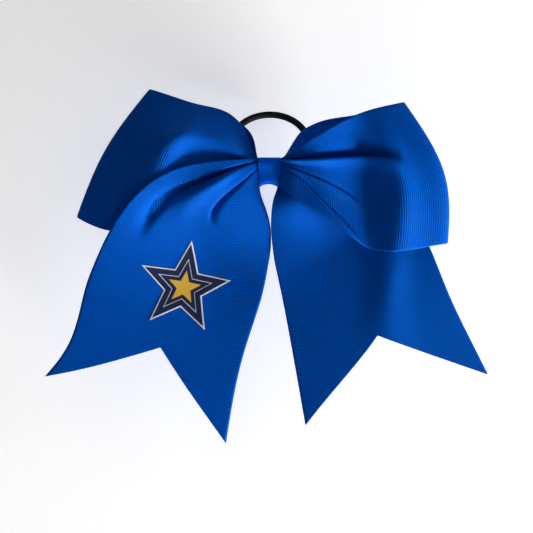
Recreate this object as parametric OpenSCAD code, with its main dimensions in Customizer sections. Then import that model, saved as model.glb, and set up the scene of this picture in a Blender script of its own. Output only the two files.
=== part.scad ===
// Cheer hair bow: one wide grosgrain strip folded into two loops and two swallow-tailed tails,
// gathered in the middle, bound with thread, and covered by a narrow wrap that also holds a
// hair elastic. A star in heat-pressed film decorates the left tail.
// Frame: origin in the middle of the gathers, X to the right, Z up, front at -Y.
// The strip passes through the knot three times. Front to back: left tail to the right loop's
// front, left loop's front to the right tail, and left loop's rear to the right loop's rear.

/* [Ribbon] */
// Width of the wide ribbon (three inches)
ribbon_w = 76.2; // [72:0.1:80]
// Thickness of the woven ribbon
ribbon_t = 0.6; // [0.4:0.1:0.7]
// How deep the swallow-tail cut is, as a share of a tail's length
notch_share = 0.195; // [0.05:0.005:0.3]

/* [Loops] */
// How far the loops' front layers puff out from the knot's plane
loop_depth = 11; // [10:0.5:12]

/* [Knot] */
// Width of the narrow ribbon wrapped round the gathers
wrap_w = 9; // [7:0.5:9.5]
// Thickness of the wrap
wrap_t = 0.6; // [0.4:0.1:0.8]
// Distance between one pass of the gathered ribbon and the next
pass_gap = 3.6; // [3.5:0.1:3.8]
// Half the height of the gathered ribbon
gather_h = 4.2; // [4:0.1:4.3]
// Number of pleats across the gathered ribbon
pleat_count = 4; // [3:1:5]

/* [Hair elastic] */
// Radius of the elastic ring, to the middle of its cord
ring_r = 15.3; // [14.5:0.1:16]
// Radius of the cord
cord_r = 1.35; // [1.2:0.05:1.4]
// How far the ring leans back from upright at rest, in degrees
ring_lean = 38; // [34:1:60]

/* [Emblem] */
// Radius of the star's points
star_r = 19; // [12:0.5:20]
// Thickness of each heat-pressed film
film_t = 0.12; // [0.08:0.01:0.15]

/* [Hidden] */
$fn = 64;

ribbon_blue = [0.02, 0.22, 0.66];
wrap_blue = [0.03, 0.18, 0.62];
film_white = [0.90, 0.95, 0.97];
film_navy = [0.05, 0.12, 0.30];
film_gold = [0.80, 0.66, 0.16];

gap = 0.05;               // left between pieces that only touch
root_x = 6.3;             // where the flexible spans leave the knot
gather_x = 4.9;           // half the length of the gathered passes
span_pleat = 0.8;         // how far the pleats stand out where a span leaves the knot
pleat_depth = 1.15;       // and under the binding

// ---- curves and grids ----
function mix(a, b, t) = a + (b - a) * t;
function ease(t) = t * t * (3 - 2 * t);
function unit(v) = v / norm(v);
function bezier(p, t) =
    pow(1 - t, 3) * p[0] + 3 * pow(1 - t, 2) * t * p[1] + 3 * (1 - t) * t * t * p[2] + pow(t, 3) * p[3];
function pleat(v, fade) = span_pleat * cos(360 * pleat_count * v) * fade;

function grid_normal(g, i, j) =
    let (
        n = len(g) - 1,
        m = len(g[0]) - 1,
        along = g[min(i + 1, n)][j] - g[max(i - 1, 0)][j],
        across = g[i][min(j + 1, m)] - g[i][max(j - 1, 0)]
    )
    unit(cross(along, across));
function lifted(g, height) = [
    for (i = [0 : len(g) - 1], j = [0 : len(g[0]) - 1]) g[i][j] + grid_normal(g, i, j) * height
];
function turned_over(faces, first) = [for (f = faces) [f[2] + first, f[1] + first, f[0] + first]];
// The wall between the rim of one skin and the same rim on the skin whose points start at first
function rim_wall(rim, first) = [
    for (k = [0 : len(rim) - 1]) let (p = rim[k], q = rim[(k + 1) % len(rim)])
        each [[p, q, q + first], [p, q + first, p + first]]
];

// A closed sheet of thickness t about a grid of points
module sheet(g, t) {
    n = len(g);
    m = len(g[0]);
    near = [for (i = [0 : n - 2], j = [0 : m - 2]) let (a = i * m + j, b = a + m)
        each [[a, a + 1, b + 1], [a, b + 1, b]]];
    rim = concat(
        [for (i = [0 : n - 1]) i * m],
        [for (j = [1 : m - 1]) (n - 1) * m + j],
        [for (i = [n - 2 : -1 : 0]) i * m + m - 1],
        [for (j = [m - 2 : -1 : 1]) j]
    );
    polyhedron(
        concat(lifted(g, t / 2), lifted(g, -t / 2)),
        concat(near, turned_over(near, n * m), rim_wall(rim, n * m))
    );
}

// ---- tails ----
// A tail runs from the knot (u = 0) to its swallow-tail end (u = 1), between two edge curves
tail_rows = 20;
tail_columns = 16;
tail_fade = 7;            // how quickly the pleats die away along a tail
tail_arch = 0.02 * ribbon_w;        // how far a tail's middle bows towards the front
tail_left_outer = [
    [-root_x, -pass_gap, gather_h],
    ribbon_w * [-0.66, -0.34, 0.10],
    ribbon_w * [-0.96, -0.10, -0.38],
    ribbon_w * [-1.177, 0.04, -1.067],
];
tail_left_inner = [
    [-root_x, -pass_gap, -gather_h],
    ribbon_w * [0.05, -0.12, -0.42],
    ribbon_w * [0.02, -0.06, -0.80],
    ribbon_w * [-0.23, 0.04, -1.417],
];
// The right tail hangs midway between the right loop's layers
tail_right_outer = [
    [root_x, 0, gather_h],
    ribbon_w * [0.59, 0.02, 0.00],
    ribbon_w * [0.87, 0.02, -0.36],
    ribbon_w * [1.14, 0.03, -1.058],
];
tail_right_inner = [
    [root_x, 0, -gather_h],
    ribbon_w * [-0.06, 0.02, -0.40],
    ribbon_w * [0.02, 0.08, -0.66],
    ribbon_w * [0.185, 0.04, -1.323],
];

function tail_point(outer, inner, u, v) =
    let (
        s = u * (1 - notch_share * (1 - abs(2 * v - 1))),
        bow = tail_arch * sin(180 * v) * sin(180 * pow(s, 0.7)),
        gather = pleat(v, exp(-tail_fade * s))
    )
    mix(bezier(outer, s), bezier(inner, s), v) + [0, gather - bow, 0];
function tail_grid(outer, inner) = [
    for (i = [0 : tail_rows]) [
        for (j = [0 : tail_columns]) tail_point(outer, inner, i / tail_rows, j / tail_columns)
    ]
];

module tail_left() {
    color(ribbon_blue) sheet(tail_grid(tail_left_outer, tail_left_inner), ribbon_t);
}

module tail_right() {
    color(ribbon_blue) sheet(tail_grid(tail_right_outer, tail_right_inner), ribbon_t);
}

// ---- loops ----
// A loop runs from the knot along its front, round the fold and back along its rear (turn 0 to 1)
loop_rows = 32;
loop_columns = 16;
loop_fan = 0.55;          // how early a loop opens to its full width
loop_puff = 0.3;          // how early its layers part
loop_fade = 5;            // how quickly the pleats die away along a loop
fold_bow = 0.03 * ribbon_w;

// side is -1 or 1; roots are the front and rear passes' depths; middle and half place the fold
function loop_point(side, roots, middle, half, depths, turn, v) =
    let (
        s = (1 - cos(360 * turn)) / 2,
        w = 2 * v - 1,
        centre = mix([side * root_x, 0, 0], middle, s),
        reach = mix([0, 0, gather_h], half, pow(s, loop_fan)),
        root = mix(roots[0], roots[1], ease(turn)) * (1 - s),
        puff = depths[turn < 0.5 ? 0 : 1] * sin(360 * turn) * pow(s, loop_puff),
        bow = side * fold_bow * s * s * (1 - w * w)
    )
    centre + w * reach + [bow, root - puff + pleat(v, exp(-loop_fade * s)), 0];
function loop_grid(side, roots, middle, half, depths) = [
    for (i = [0 : loop_rows]) [
        for (j = [0 : loop_columns])
            loop_point(side, roots, middle, half, depths, i / loop_rows, j / loop_columns)
    ]
];

module loop_left() {
    middle = ribbon_w * [-0.816, 0.04, 0.10];
    half = ribbon_w * [0.19, 0.02, 0.335];
    depths = [loop_depth - 2, loop_depth - 1];
    color(ribbon_blue) sheet(loop_grid(-1, [0, pass_gap], middle, half, depths), ribbon_t);
}

module loop_right() {
    middle = ribbon_w * [0.808, 0.02, -0.005];
    half = ribbon_w * [-0.112, 0, 0.368];
    depths = [loop_depth + 1, loop_depth - 1];
    color(ribbon_blue) sheet(loop_grid(1, [-pass_gap, pass_gap], middle, half, depths), ribbon_t);
}

// ---- gathered middle of the strip ----
// Extrudes each profile, drawn in Y and Z, along X and centred on the knot
module across_x(length) {
    rotate([90, 0, 90])
        for (k = [0 : $children - 1]) linear_extrude(length, center = true) children(k);
}

// One pass through the knot, folded to and fro; facing is the side its outer folds turn to
module gathered_pass(at, facing) {
    folds = 2 * pleat_count;
    end = gather_h - ribbon_t / 2;
    fold = [for (k = [0 : folds])
        [at + facing * (k % 2 == 0 ? 1 : -1) * pleat_depth, mix(-end, end, k / folds)]];
    color(ribbon_blue) {
        for (p = fold) across_x(2 * gather_x) translate(p) circle(d = ribbon_t);
        for (k = [1 : folds]) {
            run = fold[k] - fold[k - 1];
            across_x(2 * gather_x)
                translate((fold[k] + fold[k - 1]) / 2)
                    rotate(atan2(run[1], run[0]))
                        square([norm(run), ribbon_t], center = true);
        }
    }
}

module gathers_front() { gathered_pass(-pass_gap, 1); }

module gathers_middle() { gathered_pass(0, 1); }

module gathers_back() { gathered_pass(pass_gap, -1); }

// ---- binding thread ----
thread_r = 0.3;
thread_turns = 5;
thread_pitch = 0.75;
thread_y = pass_gap + pleat_depth + ribbon_t / 2 + thread_r + 0.25;
thread_z = gather_h + thread_r + 0.2;
thread_square = 0.5;      // exponent that squares the coil off round the gathers
thread_steps = 28;        // facets round one turn
thread_sides = 8;

function squared(a) = sign(a) * pow(abs(a), thread_square);
function thread_at(k) =
    let (angle = 360 * k / thread_steps)
    [
        (k / thread_steps - thread_turns / 2) * thread_pitch,
        thread_y * squared(cos(angle)),
        thread_z * squared(sin(angle))
    ];

module cinch_thread() {
    count = thread_steps * thread_turns;
    skin = [for (k = [0 : count], s = [0 : thread_sides - 1]) let (
        at = thread_at(k),
        out = unit([0, at[1], at[2]]),
        angle = 360 * s / thread_sides
    ) at + thread_r * (cos(angle) * out + sin(angle) * [1, 0, 0])];
    walls = [for (k = [0 : count - 1], s = [0 : thread_sides - 1]) let (
        a = k * thread_sides + s,
        b = k * thread_sides + (s + 1) % thread_sides
    ) each [[a, b + thread_sides, b], [a, a + thread_sides, b + thread_sides]]];
    ends = [
        [for (s = [0 : thread_sides - 1]) s],
        [for (s = [thread_sides - 1 : -1 : 0]) count * thread_sides + s]
    ];
    color("white") polyhedron(skin, concat(walls, ends));
}

// ---- centre wrap ----
wrap_y = thread_y + thread_r + 0.2;        // inside faces of the wrap
wrap_z = thread_z + thread_r + 0.1;
wrap_corner = 1.6;
channel_r = cord_r + 0.85;                 // room for the cord, and for its curve inside the wrap
cord_y = wrap_y + channel_r - 0.1;
wrap_back = cord_y + channel_r + wrap_t;   // the flat at the back of the wrap
flat_z = 3.2;                              // half the height of that flat
glue_t = 0.35;
glue_z = 4.6;

// A rounded bar along X with a hump at the back; grow adds to it all round
module wrap_bar(grow, length) {
    y = wrap_y + grow;
    z = wrap_z + grow;
    flat = flat_z - wrap_t + grow;
    back = wrap_back - wrap_t + grow;
    for (a = [-1, 1], b = [-1, 1])
        across_x(length) translate([a * (y - wrap_corner), b * (z - wrap_corner)]) circle(wrap_corner);
    across_x(length) {
        square([2 * y, 2 * (z - wrap_corner)], center = true);
        square([2 * (y - wrap_corner), 2 * z], center = true);
        polygon([[0, z], [y - wrap_corner, z], [back, flat], [back, -flat], [y - wrap_corner, -z], [0, -z]]);
    }
}

module center_wrap() {
    flap_y = wrap_back + glue_t + 2 * gap;
    color(wrap_blue) {
        difference() {
            wrap_bar(wrap_t, wrap_w);
            wrap_bar(0, wrap_w + 1);
        }
        // the strip's free end, lapped over the back
        translate([-wrap_w / 2, flap_y, -flat_z]) cube([wrap_w, wrap_t, 2 * flat_z]);
        translate([-wrap_w / 2, wrap_back - wrap_t / 2, flat_z - wrap_t])
            cube([wrap_w, flap_y - wrap_back + wrap_t, wrap_t]);
    }
}

module wrap_glue() {
    color("ivory")
        translate([1 - wrap_w / 2, wrap_back + gap, 2 - wrap_t - glue_z]) cube([wrap_w - 2, glue_t, glue_z]);
}

// ---- hair elastic ----
cover_t = 0.4;            // wall of the braided cover
join_t = 0.3;
join_at = 208;            // where the crimped join sits, round the ring
join_sweep = 16;

// Sweeps a profile round the ring, which hangs from its cord inside the wrap
module around_ring(start, sweep) {
    translate([0, cord_y, 0])
        rotate([90 - ring_lean, 0, 0])
            translate([0, ring_r, 0])
                rotate([0, 0, start])
                    rotate_extrude(angle = sweep)
                        translate([ring_r, 0]) children();
}

module tube_profile(outer, inner) {
    difference() {
        circle(outer);
        circle(inner);
    }
}

module elastic_cover() {
    color("black") around_ring(0, 360) tube_profile(cord_r, cord_r - cover_t);
}

module elastic_core() {
    color("dimgray") around_ring(0, 360) circle(cord_r - cover_t - gap);
}

module elastic_join() {
    color("black") around_ring(join_at, join_sweep) tube_profile(cord_r + gap + join_t, cord_r + gap);
}

// ---- emblem ----
// A five-pointed star in three films that follow the left tail, regular when seen from the front
star_points = 5;
star_waist = 0.42;        // the star's inner radius over its outer radius
star_edge = 3;            // facets along each side of the star
star_rings = 6;
star_tilt = -10;
star_centre = ribbon_w * [-0.45, -0.60];
star_guess = [0.6, 0.5];  // roughly where the centre lies, along and across the tail
film_lift = 0.25;         // the first film's height over the ribbon
film_step = film_t + 0.12;
nudge = 0.01;

function on_tail(uv) = tail_point(tail_left_outer, tail_left_inner, uv[0], uv[1]);
function front_view(uv) = let (p = on_tail(uv)) [p[0], p[2]];
// One step of Newton's method towards the place on the tail that is seen at target
function nearer(uv, target) =
    let (
        at = front_view(uv),
        du = (front_view(uv + [nudge, 0]) - at) / nudge,
        dv = (front_view(uv + [0, nudge]) - at) / nudge,
        miss = target - at
    )
    uv + [miss[0] * dv[1] - miss[1] * dv[0], du[0] * miss[1] - du[1] * miss[0]]
        / (du[0] * dv[1] - du[1] * dv[0]);
function seen_at(target, uv = star_guess, steps = 5) =
    steps == 0 ? uv : seen_at(target, nearer(uv, target), steps - 1);
function film_point(p, height) =
    let (
        uv = seen_at(star_centre + p),
        at = on_tail(uv),
        du = on_tail(uv + [nudge, 0]) - at,
        dv = on_tail(uv + [0, nudge]) - at
    )
    at + unit(cross(du, dv)) * height;

function star_corner(k) =
    let (r = k % 2 == 0 ? 1 : star_waist, angle = 90 + star_tilt + 180 * k / star_points)
    r * [cos(angle), sin(angle)];
function star_rim(k) =
    let (corner = floor(k / star_edge))
    mix(star_corner(corner), star_corner(corner + 1), (k % star_edge) / star_edge);

module film(scale, layer) {
    count = 2 * star_points * star_edge;
    size = 1 + star_rings * count;
    low = ribbon_t / 2 + film_lift + layer * film_step;
    skin = function(height) concat(
        [film_point([0, 0], height)],
        [for (r = [1 : star_rings], k = [0 : count - 1])
            film_point(star_r * scale * r / star_rings * star_rim(k), height)]
    );
    at = function(r, k) 1 + (r - 1) * count + k % count;
    top = concat(
        [for (k = [0 : count - 1]) [0, at(1, k + 1), at(1, k)]],
        [for (r = [1 : star_rings - 1], k = [0 : count - 1])
            each [[at(r, k), at(r, k + 1), at(r + 1, k + 1)], [at(r, k), at(r + 1, k + 1), at(r + 1, k)]]]
    );
    rim = [for (k = [0 : count - 1]) at(star_rings, k)];
    polyhedron(
        concat(skin(low + film_t), skin(low)),
        concat(top, turned_over(top, size), rim_wall(rim, size))
    );
}

module emblem_outline() { color(film_white) film(1, 0); }

module emblem_fill() { color(film_navy) film(0.87, 1); }

module emblem_accent() { color(film_gold) film(0.36, 2); }

tail_left();
tail_right();
loop_left();
loop_right();
gathers_front();
gathers_middle();
gathers_back();
cinch_thread();
center_wrap();
wrap_glue();
elastic_cover();
elastic_core();
elastic_join();
emblem_outline();
emblem_fill();
emblem_accent();
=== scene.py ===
"""Looks of the cheer hair bow: folded grosgrain ribbon, centre wrap, braided elastic and a film star."""

import math

import bmesh
import bpy
import numpy as np
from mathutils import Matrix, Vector


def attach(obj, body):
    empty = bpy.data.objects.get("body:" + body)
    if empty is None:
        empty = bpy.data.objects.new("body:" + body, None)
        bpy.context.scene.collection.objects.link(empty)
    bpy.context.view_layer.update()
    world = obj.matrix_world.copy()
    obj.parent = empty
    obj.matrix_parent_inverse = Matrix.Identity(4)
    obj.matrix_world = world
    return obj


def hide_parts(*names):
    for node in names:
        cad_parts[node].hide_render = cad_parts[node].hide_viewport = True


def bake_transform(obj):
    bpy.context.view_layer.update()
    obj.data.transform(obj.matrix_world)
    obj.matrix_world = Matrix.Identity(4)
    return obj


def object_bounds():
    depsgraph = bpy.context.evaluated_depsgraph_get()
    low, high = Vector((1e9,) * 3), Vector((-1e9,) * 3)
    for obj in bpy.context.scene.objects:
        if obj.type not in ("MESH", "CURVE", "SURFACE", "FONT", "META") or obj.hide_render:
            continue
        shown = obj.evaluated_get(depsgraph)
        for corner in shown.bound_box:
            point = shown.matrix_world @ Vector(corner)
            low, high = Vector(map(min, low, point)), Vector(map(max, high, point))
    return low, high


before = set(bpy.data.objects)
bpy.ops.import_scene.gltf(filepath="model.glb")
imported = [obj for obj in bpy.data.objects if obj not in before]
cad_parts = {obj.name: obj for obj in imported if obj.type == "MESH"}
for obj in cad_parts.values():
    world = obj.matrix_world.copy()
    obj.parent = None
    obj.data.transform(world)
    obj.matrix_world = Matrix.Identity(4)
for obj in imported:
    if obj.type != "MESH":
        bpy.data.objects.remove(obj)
cad_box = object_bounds()

# ---- sizes, in millimetres on a bow that is BOW_WIDTH wide; SCALE fits them to the frame ----
BOW_WIDTH = 176.6
SCALE = (cad_box[1][0] - cad_box[0][0]) / BOW_WIDTH
RIBBON_W = 76.2
RIBBON_T = 0.42
RIB_PITCH = 0.93
RIB_HEIGHT = 0.14
SELVEDGE = 0.9
THIN_EDGE = 0.7  # the selvedge's thickness as a share of the ribbon's
ROWS_PER_RIB = 4
COLUMN = 1.0
STEP = 0.05  # how far apart a surface is sampled for its slopes

PI = math.pi


def add(name, data):
    """A new object in the scene, with data as its mesh, light or camera."""
    obj = bpy.data.objects.new(name, data)
    bpy.context.scene.collection.objects.link(obj)
    return obj


def add_smooth_mesh(name, points, faces):
    """A smooth-shaded object from points (n, 3) in mm and lists of their indices."""
    mesh = bpy.data.meshes.new(name)
    mesh.from_pydata((points * SCALE).tolist(), [], faces)
    mesh.polygons.foreach_set("use_smooth", [True] * len(mesh.polygons))
    return add(name, mesh)


# ---- curves ----
def mix(a, b, t):
    return a + (b - a) * t


def smooth(low, high, x):
    t = np.clip((x - low) / (high - low), 0, 1)
    return t * t * (3 - 2 * t)


def natural_spline(knots, values):
    """The natural cubic spline through values (n, k) at knots (n), as a function."""
    knots = np.asarray(knots, float)
    values = np.asarray(values, float)
    n = len(knots)
    h = np.diff(knots)
    matrix = np.eye(n)
    right = np.zeros_like(values)
    for i in range(1, n - 1):
        matrix[i, i - 1 : i + 2] = h[i - 1], 2 * (h[i - 1] + h[i]), h[i]
        slope = (values[i + 1] - values[i]) / h[i] - (values[i] - values[i - 1]) / h[i - 1]
        right[i] = 6 * slope
    bend = np.linalg.solve(matrix, right)

    def at(x):
        x = np.asarray(x, float)
        i = np.clip(np.searchsorted(knots, x) - 1, 0, n - 2)
        b = ((x - knots[i]) / h[i])[..., None]
        a = 1 - b
        lift = ((a**3 - a) * bend[i] + (b**3 - b) * bend[i + 1]) * (h[i] ** 2)[..., None] / 6
        return a * values[i] + b * values[i + 1] + lift

    return at


def curve(*points):
    """A smooth curve through points, as a function of the share of its length, and that length."""
    points = np.array(points, float)
    chords = np.linalg.norm(np.diff(points, axis=0), axis=1)
    knots = np.concatenate([[0], np.cumsum(chords**0.5)])
    path = natural_spline(knots, points)
    x = np.linspace(0, knots[-1], 2000)
    steps = np.linalg.norm(np.diff(path(x), axis=0), axis=1)
    along = np.concatenate([[0], np.cumsum(steps)])

    def at(share):
        return path(np.interp(np.asarray(share) * along[-1], along, x))

    return at, along[-1]


# ---- ribbon surfaces ----
def bump(d):
    return np.exp(-d * d)


def wiggle(d):
    """Down on one side and up on the other, with peaks of 1 at d = -1 and 1."""
    return d * np.exp((1 - d * d) / 2)


class Fold:
    """A fold that runs out from the knot, drawn as a soft valley or as a tuck.

    line: (share of the span's length, share of its width) of points along the fold
    width: its half-width across the ribbon at the knot and at its end
    along: where it starts, is full, begins to fade and is gone, as shares of the span's length
    depth: how far it goes back from the viewer, in mm (negative comes forward)
    tuck: above 0 the part before the fold lies over the part after it, below 0 the other way
    step: how far the part on top stands out from the other, as a share of the depth
    """

    def __init__(self, line, width, along, depth, tuck=0.0, step=0.0):
        self.reach = [s for s, v in line]
        self.path = natural_spline(self.reach, [[v] for s, v in line])
        self.width = width
        self.along = along
        self.depth = depth
        self.tuck = tuck
        self.step = step

    def apply(self, s, v):
        """(change across, change in depth) of the points s along and v across."""
        start, full, fade, gone = self.along
        line = self.path(np.clip(s, self.reach[0], self.reach[-1]))[..., 0]
        width = mix(self.width[0], self.width[1], np.clip(s / gone, 0, 1))
        d = (v - line) / width
        strength = smooth(start, full, s) * (1 - smooth(fade, gone, s))
        shift = -abs(self.tuck) * width * strength * wiggle(d)
        side = np.sign(self.tuck)
        return shift, self.depth * strength * (bump(d - 0.6 * side) + self.step * side * wiggle(d))


def loft(guides):
    """A function of (s, v) through three guide curves: the upper edge, the middle and the lower edge."""
    weights = natural_spline([0, 0.5, 1], np.eye(3))

    def at(s, v):
        w = weights(v)
        return sum(w[..., k : k + 1] * guide(s) for k, guide in enumerate(guides))

    return at


def folded(base, folds, s, v):
    """The base surface at (s, v) with folds in it."""
    depth = 0
    shift = 0
    for fold in folds:
        dv, dy = fold.apply(s, v)
        shift = shift + dv
        depth = depth + dy
    p = base(s, v + shift)
    p[..., 1] += depth
    return p


def tail_surface(guides, folds, swell):
    """(surface, reach): the surface takes (a, v), a being mm of ribbon from the line of the tips."""
    base = loft([g for g, _ in guides])
    lengths = [length for _, length in guides]

    def reach(v):
        return mix(lengths[0], lengths[-1], v) + swell * np.sin(PI * v)

    def at(a, v):
        return folded(base, folds, 1 - a / reach(v), v)

    return at, reach


def loop_surface(guides, folds, swell):
    """(surface, reach): the surface takes (a, v), a being mm of ribbon from the bend, below 0 in front."""
    base = loft([g for g, _ in guides])
    lengths = [length for _, length in guides]

    def front(s, v):
        return base(s / 2, v)

    def reach(v):
        return (mix(lengths[0], lengths[-1], v) / 2) + swell * np.sin(PI * v)

    def at(a, v):
        t = 0.5 + 0.5 * a / reach(v)
        s = 1 - np.abs(2 * t - 1)
        return np.where((t < 0.5)[..., None], folded(front, folds, s, v), base(1 - s / 2, v))

    return at, reach


def surface_normal(surface, a, v, width):
    along = surface(a + STEP, v) - surface(a - STEP, v)
    across = surface(a, v + STEP / width) - surface(a, v - STEP / width)
    normal = np.cross(along, across)
    return normal / np.linalg.norm(normal, axis=-1)[..., None]


# ---- ribbon meshes ----
def flat_ribbon(low, high, cuts=(), width=RIBBON_W, column=COLUMN):
    """A flat ribbon in material coordinates (mm across, mm along), with each of cuts made in it."""
    rows = math.ceil((high - low) / RIB_PITCH * ROWS_PER_RIB)
    columns = int(width / column)
    x = np.linspace(0, width, columns + 1)
    y = np.linspace(low, high, rows + 1)
    points = [(px, py, 0) for py in y for px in x]
    wide = columns + 1
    faces = [
        (i * wide + j, i * wide + j + 1, (i + 1) * wide + j + 1, (i + 1) * wide + j)
        for i in range(rows)
        for j in range(columns)
    ]
    mesh = bpy.data.meshes.new("flat")
    mesh.from_pydata(points, [], faces)
    flat = bmesh.new()
    flat.from_mesh(mesh)
    bpy.data.meshes.remove(mesh)
    for cut in cuts:
        cut(flat)
    return flat


def notch(flat):
    """Cuts the swallow-tail notch out of a tail's end."""
    half = RIBBON_W / 2
    for side in (-1, 1):
        faces = [f for f in flat.faces if side * (f.calc_center_median().x - half) > 0]
        edges = {e for f in faces for e in f.edges}
        verts = {v for f in faces for v in f.verts}
        geometry = [*verts, *edges, *faces]
        corner = (half, NOTCH_DEPTH, 0)
        square_to_cut = (NOTCH_DEPTH, side * half, 0)
        bmesh.ops.bisect_plane(flat, geom=geometry, plane_co=corner, plane_no=square_to_cut, dist=1e-5)
    inside = [
        f for f in flat.faces
        if f.calc_center_median().y < NOTCH_DEPTH * (1 - abs(f.calc_center_median().x - half) / half)
    ]
    bmesh.ops.delete(flat, geom=inside, context="FACES")


def ribbon_piece(name, surface, flat, thickness=RIBBON_T, width=RIBBON_W, height=RIB_HEIGHT):
    """A woven ribbon: both faces of the flat piece, folded onto the surface, with ribs, and its edges."""
    flat.verts.index_update()
    material = np.array([v.co[:2] for v in flat.verts])
    faces = [[v.index for v in f.verts] for f in flat.faces]
    rim = [e for e in flat.edges if len(e.link_faces) == 1]
    v = material[:, 0] / width
    a = material[:, 1]
    p = surface(a, v)
    edge = np.minimum(material[:, 0], width - material[:, 0])
    inside = smooth(0, SELVEDGE, edge)
    half = thickness / 2 * mix(THIN_EDGE, 1, inside) + height * inside * np.cos(2 * PI * a / RIB_PITCH)
    lift = surface_normal(surface, a, v, width) * half[:, None]
    n = len(p)
    quads = faces + [[k + n for k in reversed(f)] for f in faces]
    for e in rim:
        i, j = [x.index for x in e.verts]
        face = [x.index for x in e.link_faces[0].verts]
        if (face.index(i) + 1) % len(face) != face.index(j):
            i, j = j, i
        quads.append([j, i, i + n, j + n])
    obj = add_smooth_mesh(name, np.vstack([p + lift, p - lift]), quads)
    mesh = obj.data
    uv = mesh.uv_layers.new(name="weave")
    weave = np.vstack([material, material]) / 10
    corners = np.empty(len(mesh.loops), int)
    mesh.loops.foreach_get("vertex_index", corners)
    uv.data.foreach_set("uv", weave[corners].ravel())
    mesh.update()
    flat.free()
    return obj


# ---- materials ----
class Paint:
    """A material with a Principled shader, and short ways to add the nodes that drive it."""

    def __init__(self, name, color, roughness, **settings):
        self.material = bpy.data.materials.new(name)
        self.material.use_nodes = True
        self.tree = self.material.node_tree
        self.shader = self.tree.nodes["Principled BSDF"]
        self.set("Base Color", (*color, 1))
        self.set("Roughness", roughness)
        for key, value in settings.items():
            self.set(key.replace("_", " "), value)

    def set(self, key, value):
        self.feed(self.shader.inputs[key], value)

    def feed(self, socket, value):
        if isinstance(value, bpy.types.NodeSocket):
            self.tree.links.new(value, socket)
        else:
            socket.default_value = value

    def node(self, kind, *inputs, **properties):
        """Adds a node with its first inputs fed, and returns its first output."""
        made = self.tree.nodes.new("ShaderNode" + kind)
        for key, value in properties.items():
            setattr(made, key, value)
        for socket, value in zip(made.inputs, inputs):
            self.feed(socket, value)
        return made.outputs[0]

    def math(self, operation, a, b=0.0):
        return self.node("Math", a, b, operation=operation)

    def times(self, a, b):
        return self.math("MULTIPLY", a, b)

    def place(self, scale):
        """The object's own coordinates, in units of 1 / scale metres."""
        coordinates = self.tree.nodes.new("ShaderNodeTexCoord").outputs["Object"]
        scaled = self.tree.nodes.new("ShaderNodeVectorMath")
        scaled.operation = "SCALE"
        self.feed(scaled.inputs[0], coordinates)
        self.feed(scaled.inputs["Scale"], scale)
        return scaled.outputs[0]

    def noise(self, scale, detail):
        """Cloudy values from 0 to 1, about scale patches to a metre."""
        made = self.tree.nodes.new("ShaderNodeTexNoise")
        self.feed(made.inputs["Vector"], self.place(scale))
        self.feed(made.inputs["Scale"], 1.0)
        self.feed(made.inputs["Detail"], detail)
        return made.outputs["Fac"]

    def between(self, low, high, share):
        """A value or a colour, mixed from low to high by share."""
        if isinstance(low, tuple):
            made = self.tree.nodes.new("ShaderNodeMix")
            made.data_type = "RGBA"
            self.feed(made.inputs["Factor"], share)
            self.feed(made.inputs[6], (*low, 1))
            self.feed(made.inputs[7], (*high, 1))
            return made.outputs[2]
        return self.node("MapRange", share, 0.0, 1.0, low, high)

    def bump(self, height, depth):
        """Relief, depth being in mm."""
        made = self.tree.nodes.new("ShaderNodeBump")
        self.feed(made.inputs["Strength"], 1.0)
        self.feed(made.inputs["Distance"], depth * SCALE)
        self.feed(made.inputs["Height"], height)
        self.set("Normal", made.outputs[0])


WARP_PITCH = 0.24


def grosgrain(name, light, dark, specular):
    """Ribbed woven ribbon; its "weave" map holds mm across and mm along, divided by 10."""
    paint = Paint(name, light, 0.5, Specular_IOR_Level=specular, Sheen_Weight=0.02)
    paint.set("Specular Tint", (0, 0.5, 1, 1))
    paint.set("Sheen Tint", (0.05, 0.4, 1, 1))
    weave = paint.tree.nodes.new("ShaderNodeSeparateXYZ")
    paint.feed(weave.inputs[0], paint.node("UVMap", uv_map="weave"))
    across = paint.times(weave.outputs[0], 20 * PI / WARP_PITCH)
    along = paint.times(weave.outputs[1], 20 * PI / RIB_PITCH)
    # Painted shade: the colour is mixed towards dark in the furrows between ribs and in the dips between warp
    # threads, where shade would fall.
    rib_furrow_shade = paint.between(0.5, 1.0, paint.math("COSINE", along))
    stagger = paint.times(paint.math("FLOOR", paint.math("DIVIDE", along, PI)), PI)
    warp_relief_and_shade = paint.between(0.5, 1.0, paint.math("COSINE", paint.math("ADD", across, stagger)))
    cloud = paint.noise(60, 3.0)
    fleck = paint.noise(2500, 2.0)
    height = paint.math("ADD", paint.times(warp_relief_and_shade, 0.6), paint.times(fleck, 0.4))
    # shade holds the painted furrow shade, the random tone of the cloud and the painted shade between warp
    # threads.
    shade = paint.times(paint.between(0.2, 1.0, rib_furrow_shade), paint.between(0.82, 1.1, cloud))
    shade = paint.times(shade, paint.between(0.85, 1.08, warp_relief_and_shade))
    paint.set("Base Color", paint.between(dark, light, shade))
    paint.set("Roughness", paint.between(0.42, 0.6, fleck))
    paint.bump(height, 0.06)
    return paint.material


def film(name, color):
    """Heat-pressed vinyl, slightly uneven over the ribs."""
    paint = Paint(name, color, 0.38, Specular_IOR_Level=0.4, Coat_Weight=0.1)
    grain = paint.noise(1800, 3.0)
    dark = tuple(0.86 * c for c in color)
    paint.set("Base Color", paint.between(dark, color, paint.noise(180, 4.0)))
    paint.set("Roughness", paint.between(0.32, 0.46, grain))
    paint.bump(grain, 0.05)
    return paint.material


def braid(name, color):
    """Dull spun fibres, for the elastic's cover and its rubber strands."""
    paint = Paint(name, color, 0.6, Specular_IOR_Level=0.2)
    fibre = paint.noise(9000, 3.0)
    worn = tuple(1.6 * c + 0.002 for c in color)
    paint.set("Base Color", paint.between(color, worn, fibre))
    paint.bump(fibre, 0.08)
    return paint.material


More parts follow.
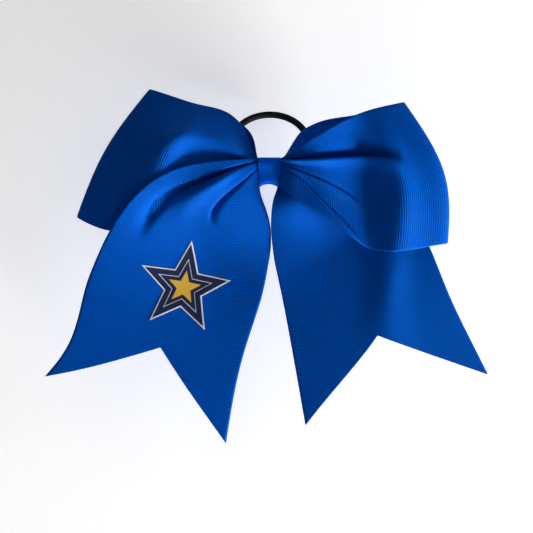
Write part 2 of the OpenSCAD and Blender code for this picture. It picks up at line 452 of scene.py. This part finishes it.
def spun(name, color):
    """Thread with a soft sheen."""
    paint = Paint(name, color, 0.6, Sheen_Weight=0.3)
    fibre = paint.noise(12000, 4.0)
    dark = tuple(0.75 * c for c in color)
    paint.set("Base Color", paint.between(dark, color, fibre))
    paint.bump(fibre, 0.05)
    return paint.material


def hot_glue():
    paint = Paint("hot_glue", (0.85, 0.8, 0.66), 0.25, Transmission_Weight=0.35, Subsurface_Weight=0.2)
    cloud = paint.noise(700, 3.0)
    paint.set("Base Color", paint.between((0.72, 0.66, 0.5), (0.9, 0.86, 0.74), cloud))
    paint.bump(cloud, 0.1)
    return paint.material


def crimp_metal():
    paint = Paint("crimp_metal", (0.3, 0.3, 0.32), 0.35, Metallic=0.9)
    scratches = paint.noise(4000, 5.0)
    paint.set("Base Color", paint.between((0.16, 0.16, 0.17), (0.42, 0.42, 0.45), scratches))
    paint.set("Roughness", paint.between(0.25, 0.5, scratches))
    paint.bump(scratches, 0.04)
    return paint.material


ribbon_cloth = grosgrain("ribbon_grosgrain", (0.0, 0.118, 0.67), (0.0, 0.018, 0.13), specular=0.1)
# Painted light: the wrap is the ribbon's own cloth with its blues painted lighter, standing in for light on
# the shaded knot, and with no specular.
wrap_cloth_painted_lighter = grosgrain("wrap_grosgrain_painted_lighter", (0.0, 0.15, 1.0), (0.0, 0.045, 0.42), specular=0.0)
film_white = film("film_white", (0.86, 0.87, 0.88))
film_navy = film("film_navy", (0.006, 0.016, 0.07))
film_gold = film("film_gold", (0.8, 0.47, 0.05))
elastic_braid = braid("elastic_braid", (0.004, 0.004, 0.005))
elastic_rubber = braid("elastic_rubber", (0.03, 0.028, 0.026))
white_thread = spun("binding_thread", (0.8, 0.79, 0.74))
glue = hot_glue()
metal = crimp_metal()

# ---- the four spans: their guides run out from the knot, and come upper edge, middle, lower edge ----
NOTCH_DEPTH = 31


def loop_curve(front, corner, back):
    """A smooth curve out along the front, round the corner at 0.5 and home along the back."""
    points = [*front, corner, *back]
    at, length = curve(*points)
    share = np.linspace(0, 1, 4000)
    fold = share[np.argmin(np.linalg.norm(at(share) - np.array(corner), axis=1))]

    def halved(t):
        return at(np.interp(t, [0, 0.5, 1], [0, fold, 1]))

    return halved, length


left_tail_guides = [
    curve(
        (-3, -4.2, 4.3), (-4.8, -5.4, 4.8), (-15, -9.5, 4.5), (-28, -13, 3), (-41.2, -14.5, -0.9),
        (-54, -12, -10.4), (-64.3, -5.5, -25), (-70, -1.7, -37), (-73.6, 0.4, -46.8), (-79.4, 1.8, -66.7),
        (-89.7, 3, -81.3),
    ),
    curve(
        (-3, -4.4, 0), (-4.8, -6, -0.4), (-8, -8, -2.6), (-14, -9.6, -6.6), (-23, -7.4, -15),
        (-28, -2.2, -24.5), (-30.5, 0.4, -30.5), (-33.6, 1.5, -38.5), (-38, 2.2, -51), (-43.3, 2.6, -68.7),
        (-53.6, 3, -94.6),
    ),
    curve(
        (-3, -4, -4), (-4.2, -5.2, -5.6), (-3.4, -5.2, -10), (-1.5, -4, -15.1),
        (0.1, -1.8, -21.5), (0.4, 0, -26), (0.2, 1.2, -31), (-1, 1.9, -38.9), (-3.6, 2.4, -50.8),
        (-11.3, 3, -75.4), (-17.5, 3, -108),
    ),
]
left_tail_folds = [
    Fold([(0, 0.08), (0.08, 0.16), (0.2, 0.21), (0.33, 0.155), (0.46, 0.15)], (0.026, 0.045),
         (0, 0.05, 0.34, 0.52), 4.2),
    Fold([(0, 0.18), (0.1, 0.28), (0.2, 0.32), (0.3, 0.3)], (0.07, 0.1), (0.07, 0.16, 0.24, 0.42), -2.6),
    Fold([(0, 0.33), (0.1, 0.465), (0.2, 0.487), (0.28, 0.53)], (0.03, 0.035), (0, 0.04, 0.18, 0.3), 4.2, 1),
]
right_tail_guides = [
    curve(
        (3, 0, 4.2), (6, 0, 4), (20, 2, 2), (34, 3, -3), (48, 3, -12), (58, 2.5, -21), (63.5, 2, -29.8),
        (70.4, 1.6, -46.8), (78, 2.6, -63), (86.9, 3.5, -80.6),
    ),
    curve(
        (3, 0, -0.5), (5, -1.8, -3), (8.2, -5.6, -8), (11, -6.8, -12), (15.5, -4, -18), (20.5, -0.6, -24.5),
        (25, 1, -31), (28.8, 0.8, -37.6), (34.5, 0.3, -48), (42.1, 0, -63.4), (50.5, 0.9, -90.7),
    ),
    curve(
        (2.6, 0, -4.2), (3, -2.4, -6), (1.8, -6.2, -9.5), (0.9, -6.8, -13), (0.5, -4.6, -17.5),
        (0.4, -2, -22.5), (0.8, -0.2, -28), (1.7, 0.8, -35), (4.2, 1.8, -46.8), (9, 2.2, -72),
        (14.1, 2.5, -100.8),
    ),
]
right_tail_folds = [
    Fold([(0.3, 0.1), (0.5, 0.2), (0.56, 0.26), (0.65, 0.37), (0.78, 0.43)], (0.11, 0.14),
         (0.3, 0.45, 0.65, 0.95), -2.2),
]
left_loop_guides = [
    loop_curve(
        [(-3, 0, 4.4), (-5, -0.8, 5.6), (-8.5, -1.5, 12), (-11, -2, 18), (-17.5, -2, 23.8),
         (-27.8, -1.5, 26.6), (-38, 0, 29.8)],
        (-47.8, 5, 33.1),
        [(-38, 9.5, 29.3), (-27, 10.5, 26), (-17, 10.5, 22.5), (-9.9, 8.8, 18.3), (-6.3, 6.8, 12.5),
         (-4.8, 4.2, 5.5), (-3, 3.6, 4.2)],
    ),
    loop_curve(
        [(-3, 0, 0), (-5, -1.5, 0.5), (-14, -5, 3), (-26, -8.5, 6), (-34, -12, 7.5), (-41, -15.5, 8.5),
         (-50, -11, 9), (-59, -4.5, 9.3)],
        (-65.2, 3, 9),
        [(-59, 8.5, 9), (-46, 12, 7), (-28, 12, 4), (-14, 9, 2), (-5, 4.5, 0), (-3, 3.6, 0)],
    ),
    loop_curve(
        [(-3, 0, -4.2), (-5, -0.2, -5), (-15, -0.8, -9), (-28, -2, -14), (-42, -3, -19), (-55, -2.5, -22.5),
         (-66, -1, -22.8)],
        (-76.6, 2, -17.9),
        [(-66, 7.5, -20.5), (-52, 10.5, -20), (-36, 11, -16), (-20, 9, -11), (-10, 6.5, -7), (-5, 4.3, -5),
         (-3, 3.6, -4.2)],
    ),
]
left_loop_folds = [
    Fold([(0, 0.25), (0.2, 0.28), (0.45, 0.34), (0.65, 0.42)], (0.1, 0.13), (0.04, 0.2, 0.5, 0.68), -3.2),
]
right_loop_guides = [
    loop_curve(
        [(3, -4, 4.4), (5, -7.4, 5.6), (8, -10.4, 7.2), (12, -12.8, 9.7), (20, -13.4, 14.8),
         (29.8, -11.4, 20.3), (41, -6, 24.8)],
        (53, 0, 27.7),
        [(45, 8.5, 26.2), (35.7, 11.5, 23.6), (27, 12.5, 22.2), (20, 12, 20.6),
         (14, 10.3, 17.7), (11.3, 9.3, 15.2), (8.1, 7.2, 10.2), (5.2, 4.4, 5.8), (3, 3.6, 4.2)],
    ),
    loop_curve(
        [(3, -4.2, 0), (5, -7, 0), (8, -10.2, -0.4), (14, -11.4, -1), (22, -11.4, -2), (31, -8, -3),
         (38.5, -5, -3.4), (41, -5.4, -3.4), (46, -9.4, -3), (51.5, -12.2, -2), (57, -9.6, -1.4),
         (63, -7.3, -0.7)],
        (68.4, -4.2, -0.1),
        [(65.5, 4, 0), (60, 9.5, 0), (50, 12, 0), (34, 12, 0), (20, 10, 0), (10, 7, 0), (5, 4.5, 0),
         (3, 3.6, 0)],
    ),
    loop_curve(
        [(2.8, -3.8, -4.2), (4, -5.4, -6.5), (8, -7.6, -9.2), (13, -8.8, -11.6), (19.7, -9.6, -16.1),
         (26.4, -9.4, -21.4), (33, -8, -26.7), (38.3, -6.3, -30.1), (43.5, -7.4, -31.4), (49.5, -9.8, -31.6),
         (57.4, -7.4, -30.7), (64, -5.2, -29.4)],
        (70.1, -2.6, -28.4),
        [(67, 4, -28.3), (62, 8, -27.7), (52, 9.5, -26), (38, 10, -21.5), (22, 8.5, -14), (10, 5.5, -8),
         (4.5, 4, -5), (3, 3.6, -4.2)],
    ),
]
right_loop_folds = [
    Fold([(0, 0.04), (0.16, 0.21), (0.33, 0.275), (0.53, 0.31), (0.75, 0.38)], (0.025, 0.06),
         (0, 0.05, 0.66, 0.8), 2.0, -0.8, 1.2),
    Fold([(0, 0.24), (0.12, 0.42), (0.22, 0.54), (0.3, 0.595), (0.48, 0.69)], (0.025, 0.025),
         (0, 0.04, 0.38, 0.5), 2.4, -1, 0.2),
    Fold([(0, 0.46), (0.09, 0.52), (0.16, 0.645), (0.22, 0.775), (0.31, 0.875), (0.4, 0.93),
          (0.52, 0.965)], (0.02, 0.018), (0, 0.04, 0.42, 0.55), 2.2, -1, 0.2),
]


def beyond(reach):
    """Drops the part of a flat ribbon that is past its end in the knot, which bows as the ribs do."""

    def cut(flat):
        verts = flat.verts[:]
        places = np.array([v.co[:2] for v in verts])
        past = np.abs(places[:, 1]) > reach(places[:, 0] / RIBBON_W) - 2 * STEP
        bmesh.ops.delete(flat, geom=[v for v, out in zip(verts, past) if out], context="VERTS")

    return cut


def tail(side, guides, folds, swell):
    """Builds the tail on that side, left or right, and returns its surface."""
    surface, reach = tail_surface(guides, folds, swell)
    longest = reach(np.linspace(0, 1, 99)).max()
    flat = flat_ribbon(0, longest, [notch, beyond(reach)])
    span(side, "tail", ribbon_piece(f"{side}_tail_ribbon", surface, flat))
    return surface


def loop(side, guides, folds, swell):
    surface, reach = loop_surface(guides, folds, swell)
    longest = reach(np.linspace(0, 1, 99)).max()
    flat = flat_ribbon(-longest, longest, [beyond(reach)])
    span(side, "loop", ribbon_piece(f"{side}_loop_ribbon", surface, flat))


def finished(piece, node, material):
    """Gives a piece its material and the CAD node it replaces."""
    piece.data.materials.append(material)
    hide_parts(node)
    return piece


def span(side, kind, piece):
    """Gives a tail or loop its cloth, hides the CAD node it replaces and bakes its placement into its mesh.
    """
    finished(piece, f"{kind}_{side}", ribbon_cloth)
    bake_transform(piece)


left_surface = tail("left", left_tail_guides, left_tail_folds, swell=8)
tail("right", right_tail_guides, right_tail_folds, swell=6)
loop("left", left_loop_guides, left_loop_folds, swell=4)
loop("right", right_loop_guides, right_loop_folds, swell=4)

# ---- the knot: gathered ribbon, thread, wrap and glue ----
GATHER_X = 3.2
GATHER_Z = 4
GATHER_FOLDS = 20
GATHER_COLUMNS = 12  # in each fold
PLEAT_DEPTH = 1.2
PASS_GAP = 3.6


def gathers(name, node, at):
    """One pass of the ribbon through the knot, pleated tightly over its whole width."""
    heights = np.linspace(-GATHER_Z, GATHER_Z, GATHER_FOLDS + 1)
    path, _ = curve(*[(0, at + PLEAT_DEPTH * (-1) ** k, z) for k, z in enumerate(heights)])

    def surface(a, v):
        p = path(v)
        p[..., 0] = a
        return p

    flat = flat_ribbon(-GATHER_X, GATHER_X, column=RIBBON_W / (GATHER_FOLDS * GATHER_COLUMNS))
    piece = ribbon_piece(name, surface, flat, thickness=0.26, height=0.02)
    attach(finished(piece, node, ribbon_cloth), "knot")


gathers("front_gathers", "gathers_front", -PASS_GAP)
gathers("middle_gathers", "gathers_middle", 0)
gathers("back_gathers", "gathers_back", PASS_GAP)


def grid_faces(rows, columns, closed):
    """Quads of a tube of rows rings with columns points each; closed joins its last ring to its first."""
    return [
        [i * columns + j, i * columns + k, (i + 1) % rows * columns + k, (i + 1) % rows * columns + j]
        for i in range(rows if closed else rows - 1)
        for j, k in zip(range(columns), [*range(1, columns), 0])
    ]


def strand(name, path, radius, relief, closed):
    """A round strand along path (n, 3); relief is (n, k), in mm over the radius, round each ring."""
    count, sides = relief.shape
    ahead = np.roll(path, -1, axis=0) - np.roll(path, 1, axis=0)
    if not closed:
        ahead[0] = path[1] - path[0]
        ahead[-1] = path[-1] - path[-2]
    ahead /= np.linalg.norm(ahead, axis=1)[:, None]
    out = path - path.mean(axis=0)
    out -= ahead * np.sum(out * ahead, axis=1)[:, None]
    out /= np.linalg.norm(out, axis=1)[:, None]
    side = np.cross(ahead, out)
    turn = np.linspace(0, 2 * PI, sides, endpoint=False)
    reach = (radius + relief)[..., None]
    ring = np.cos(turn)[None, :, None] * out[:, None] + np.sin(turn)[None, :, None] * side[:, None]
    faces = grid_faces(count, sides, closed)
    if not closed:
        faces += [list(range(sides))[::-1], list(range((count - 1) * sides, count * sides))]
    return add_smooth_mesh(name, (path[:, None] + reach * ring).reshape(-1, 3), faces)


def squared(x):
    """Makes a circle's cos or sin that of a rounded square."""
    return np.sign(x) * np.abs(x) ** 0.5


def waves(count, sides, lobes, turns):
    """cos of an angle that goes round lobes times a ring and turns times along the strand."""
    along = np.linspace(0, 2 * PI * turns, count, endpoint=False)[:, None]
    return np.cos(along + lobes * np.linspace(0, 2 * PI, sides, endpoint=False)[None, :])


THREAD_R = 0.25
THREAD_TURNS = 5
THREAD_PITCH = 0.75
THREAD_Y = 5.6
THREAD_Z = 4.1
thread_steps = 1200
turn = np.linspace(0, 2 * PI * THREAD_TURNS, thread_steps)
thread_x = THREAD_PITCH * (turn / 2 / PI - THREAD_TURNS / 2)
thread_path = np.stack([thread_x, THREAD_Y * squared(np.cos(turn)), THREAD_Z * squared(np.sin(turn))], axis=1)
twist = 0.05 * waves(thread_steps, 12, lobes=2, turns=150)
thread = strand("binding_thread", thread_path, THREAD_R, twist, closed=False)
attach(finished(thread, "cinch_thread", white_thread), "knot")

WRAP_W = 9.1
# from the end under the lap, over the top, down the front, and up the back over the first end
wrap_path, wrap_length = curve(
    (0, 10.7, -2.4), (0, 10.7, 0), (0, 10.7, 2.2), (0, 9.9, 3.4), (0, 7.2, 4.6), (0, 4, 5.35), (0, 0, 5.45),
    (0, -4, 5.4), (0, -6, 4.9), (0, -7, 3.5), (0, -6.5, 0.5), (0, -6.3, -1.2), (0, -6.4, -3),
    (0, -6.5, -4.6), (0, -6.2, -5.2), (0, -5.3, -5.35), (0, -4, -5.35), (0, 0, -5.4),
    (0, 4, -5.35), (0, 7.2, -4.6), (0, 10.1, -3.6), (0, 11.5, -2.5), (0, 11.75, 0), (0, 11.75, 3),
)


def wrap_surface(a, v):
    """The narrow ribbon round the knot, which is pinched narrower and arched at the lower front."""
    p = wrap_path(a / wrap_length)
    low = smooth(3, -5.5, p[..., 2]) * smooth(9, 3, p[..., 1])
    edge = 2 * v - 1
    p[..., 0] = edge * (WRAP_W - 1.4 * low) / 2 - 0.15 - 0.4 * low
    p[..., 2] += low * (0.95 - 1.3 * edge**2)
    p[..., 1] -= 0.25 * (1 - edge**2) * smooth(0, -6, p[..., 1])
    return p


wrap_flat = flat_ribbon(0, wrap_length, width=WRAP_W, column=0.2)
wrap = ribbon_piece("narrow_wrap", wrap_surface, wrap_flat, thickness=0.38, width=WRAP_W, height=0.06)
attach(finished(wrap, "center_wrap", wrap_cloth_painted_lighter), "knot")


GLUE_SIZE = (3.6, 0.19, 2.4)
GLUE_MIDDLE = (0, 11.2, -0.9)


def glue_bead(rings=24, sides=64):
    """A flattened, slightly uneven bead between the wrap and its lapped end."""
    lift = np.linspace(-PI / 2, PI / 2, rings)[:, None]
    turn = np.linspace(0, 2 * PI, sides, endpoint=False)[None, :]
    edge = np.abs(np.cos(lift)) ** 0.4 * (1 + 0.04 * np.cos(3 * turn + 0.5) + 0.025 * np.cos(7 * turn))
    across = edge * squared(np.cos(turn))
    up = edge * squared(np.sin(turn))
    bead = np.stack([across, np.sin(lift) + 0 * turn, up], axis=-1)
    points = (bead * GLUE_SIZE + GLUE_MIDDLE).reshape(-1, 3)
    return add_smooth_mesh("glue_bead", points, grid_faces(rings, sides, closed=False))


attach(finished(glue_bead(), "wrap_glue", glue), "knot")

# ---- the hair elastic: braided cover over rubber strands, with a crimped join ----
RING_R = 15.3
RING_LEAN = math.radians(38)
CORD_Y = 8.2
COVER_R = 1.27
RUBBER_R = 0.78
ring_steps = 900
around = np.linspace(0, 2 * PI, ring_steps, endpoint=False)
rise = RING_R * (1 + np.sin(around))
ring_path = np.stack(
    [RING_R * np.cos(around), CORD_Y + rise * math.sin(RING_LEAN), rise * math.cos(RING_LEAN)], axis=1
)
crossings = np.maximum(waves(ring_steps, 48, 8, 70), waves(ring_steps, 48, -8, 70))
cover = strand("braided_cover", ring_path, COVER_R, 0.09 * crossings, closed=True)
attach(finished(cover, "elastic_cover", elastic_braid), "hair_elastic")
strands = 0.1 * waves(ring_steps, 32, lobes=6, turns=12)
rubber = strand("rubber_strands", ring_path, RUBBER_R, strands, closed=True)
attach(finished(rubber, "elastic_core", elastic_rubber), "hair_elastic")
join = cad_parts["elastic_join"]
join.data.materials.clear()
join.data.materials.append(metal)

# ---- the star: three films pressed onto the left tail ----
STAR_R = 19
STAR_WAIST = 0.42
STAR_AT = (-34.3, -45.7)
STAR_TILT = math.radians(-10)
STAR_START = (40, 0.5)  # about where the star's middle is on the ribbon, as (a, v)
FILM_T = 0.1
FILM_LIFT = 0.08


def star_radius(turn):
    """The star's outline as a share of its radius, straight-edged between points and waists."""
    fifth = 2 * PI / 5
    angle = np.mod(turn, fifth)
    angle = np.minimum(angle, fifth - angle)
    return STAR_WAIST * math.sin(fifth / 2) / (STAR_WAIST * np.sin(fifth / 2 - angle) + np.sin(angle))


def on_ribbon(surface, x, z):
    """The (a, v) at which the surface is seen at x, z from the front, by Newton's method."""
    at = np.stack([np.full_like(x, STAR_START[0]), np.full_like(x, STAR_START[1])], axis=-1)
    h = 0.01
    for _ in range(12):
        p = surface(at[..., 0], at[..., 1])
        along = (surface(at[..., 0] + h, at[..., 1]) - p)[..., [0, 2]] / h
        across = (surface(at[..., 0], at[..., 1] + h / RIBBON_W) - p)[..., [0, 2]] / h * RIBBON_W
        miss = np.stack([x, z], axis=-1) - p[..., [0, 2]]
        area = along[..., 0] * across[..., 1] - along[..., 1] * across[..., 0]
        at[..., 0] += (miss[..., 0] * across[..., 1] - miss[..., 1] * across[..., 0]) / area
        at[..., 1] += (along[..., 0] * miss[..., 1] - along[..., 1] * miss[..., 0]) / area
    return at[..., 0], at[..., 1]


def star_film(name, node, material, layer, bands, sides=240, ring_width=0.3):
    """A film of one or more bands, each (inner, outer) share of the star, that lies over the ribs."""
    skin = np.empty((0, 3))
    faces = []
    for inner, outer in bands:
        rings = max(3, int((outer - inner) * STAR_R / ring_width))
        share = np.linspace(inner, outer, rings)[:, None]
        turn = np.linspace(0, 2 * PI, sides, endpoint=False)[None, :]
        reach = STAR_R * share * star_radius(turn)
        x = STAR_AT[0] - reach * np.sin(turn + STAR_TILT)
        z = STAR_AT[1] + reach * np.cos(turn + STAR_TILT)
        a, v = on_ribbon(left_surface, x, z)
        normal = surface_normal(left_surface, a, v, RIBBON_W)
        normal *= np.where(normal[..., 1:2] > 0, -1, 1)
        over_ribs = RIB_HEIGHT * (0.8 + 0.2 * np.cos(2 * PI * a / RIB_PITCH))
        height = RIBBON_T / 2 + over_ribs + FILM_LIFT * layer
        base = left_surface(a, v)
        top = base + normal * (height + FILM_T)[..., None]
        under = base + normal * (height - 0.02)[..., None]
        first = len(skin)
        skin = np.vstack([skin, top.reshape(-1, 3), under.reshape(-1, 3)])
        quads = np.array(grid_faces(rings, sides, closed=False)) + first
        n = rings * sides
        faces += quads.tolist() + (quads[:, ::-1] + n).tolist()
        rims = [(rings - 1) * sides] if inner == 0 else [(rings - 1) * sides, 0]
        for row in rims:
            for j in range(sides):
                k = (j + 1) % sides
                wall = [first + row + j, first + row + k, first + row + k + n, first + row + j + n]
                faces.append(wall if row else wall[::-1])
    obj = add_smooth_mesh(name, skin, faces)
    obj.data.validate()
    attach(finished(obj, node, material), "left_tail")


star_film("star_outline", "emblem_outline", film_white, 0, [(0, 1)])
star_film("star_fill", "emblem_fill", film_navy, 1, [(0, 0.565), (0.61, 0.92)])
star_film("star_accent", "emblem_accent", film_gold, 2, [(0, 0.36)])

# ---- stage ----
WALL_Y = 0.031
WALL_REACH = 2
FLOOR_Z = -0.95
FLOOR_REACH = 15
SQUARE = ((-1, -1), (1, -1), (1, 1), (-1, 1))


def sheet(name, points, material):
    mesh = bpy.data.meshes.new(name)
    mesh.from_pydata(points, [], [list(range(len(points)))])
    mesh.materials.append(material)
    add(name, mesh)


def backdrop(name, color, glow):
    """Matt and pale, with a soft glow for the camera; seen only from its front, and casts no shadow."""
    paint = Paint(name, color, 0.9, Specular_IOR_Level=0.1)
    facing = paint.tree.nodes.new("ShaderNodeNewGeometry").outputs["Backfacing"]
    chooser = paint.tree.nodes.new("ShaderNodeMixShader")
    clear = paint.tree.nodes.new("ShaderNodeBsdfTransparent")
    ray = paint.tree.nodes.new("ShaderNodeLightPath").outputs
    paint.set("Emission Color", (1, 1, 1, 1))
    paint.set("Emission Strength", paint.times(ray["Is Camera Ray"], glow))
    paint.feed(chooser.inputs[0], paint.math("MAXIMUM", facing, ray["Is Shadow Ray"]))
    paint.feed(chooser.inputs[1], paint.shader.outputs[0])
    paint.feed(chooser.inputs[2], clear.outputs[0])
    paint.feed(paint.tree.nodes["Material Output"].inputs["Surface"], chooser.outputs[0])
    return paint.material


sheet(
    "wall",
    [(x * WALL_REACH, WALL_Y, FLOOR_Z if z < 0 else WALL_REACH) for x, z in SQUARE],
    backdrop("wall_paint", (0.9, 0.9, 0.9), glow=0.46),
)
sheet(
    "floor",
    [(x * FLOOR_REACH, y * FLOOR_REACH, FLOOR_Z) for x, y in SQUARE],
    backdrop("floor_paint", (0.85, 0.85, 0.85), glow=0.7),
)


def area_light(name, place, aim, size, power):
    light = bpy.data.lights.new(name, "AREA")
    light.shape = "DISK"
    light.size = size
    light.energy = power
    obj = add(name, light)
    obj.location = place
    obj.rotation_euler = (Vector(aim) - Vector(place)).to_track_quat("-Z", "Y").to_euler()
    obj.visible_camera = False


area_light("key", (0.78, -0.14, -0.56), (0, 0, -0.04), 0.42, 18)
area_light("side", (0.65, -0.4, 0.45), (0, 0, -0.02), 0.5, 1.1)
area_light("fill", (-0.3, -1.1, 0.5), (0, 0, -0.03), 0.9, 0.8)
area_light("back", (-0.6, 0.9, 0.4), (0, 0, -0.03), 0.5, 4)

world = bpy.data.worlds.new("studio")  # pale to the camera, dim to the bow
world.use_nodes = True
sky = world.node_tree
strength = sky.nodes.new("ShaderNodeMapRange")
strength.inputs["To Min"].default_value = 0.12
strength.inputs["To Max"].default_value = 0.85
sky.links.new(sky.nodes.new("ShaderNodeLightPath").outputs["Is Camera Ray"], strength.inputs["Value"])
sky.links.new(strength.outputs[0], sky.nodes["Background"].inputs["Strength"])
sky.nodes["Background"].inputs["Color"].default_value = (1, 1, 1, 1)
bpy.context.scene.world = world

CAMERA_DISTANCE = 1.2
VIEW_W = 211.6
VIEW_MIDDLE = (-1.4, -37.5)
camera = bpy.data.cameras.new("camera")
camera.sensor_width = 36
camera.lens = camera.sensor_width * CAMERA_DISTANCE / (VIEW_W * SCALE)
camera_object = add("camera", camera)
camera_object.location = (VIEW_MIDDLE[0] * SCALE, -CAMERA_DISTANCE, VIEW_MIDDLE[1] * SCALE)
camera_object.rotation_euler = (PI / 2, 0, 0)
bpy.context.scene.camera = camera_object
bpy.context.scene.view_settings.view_transform = "Standard"
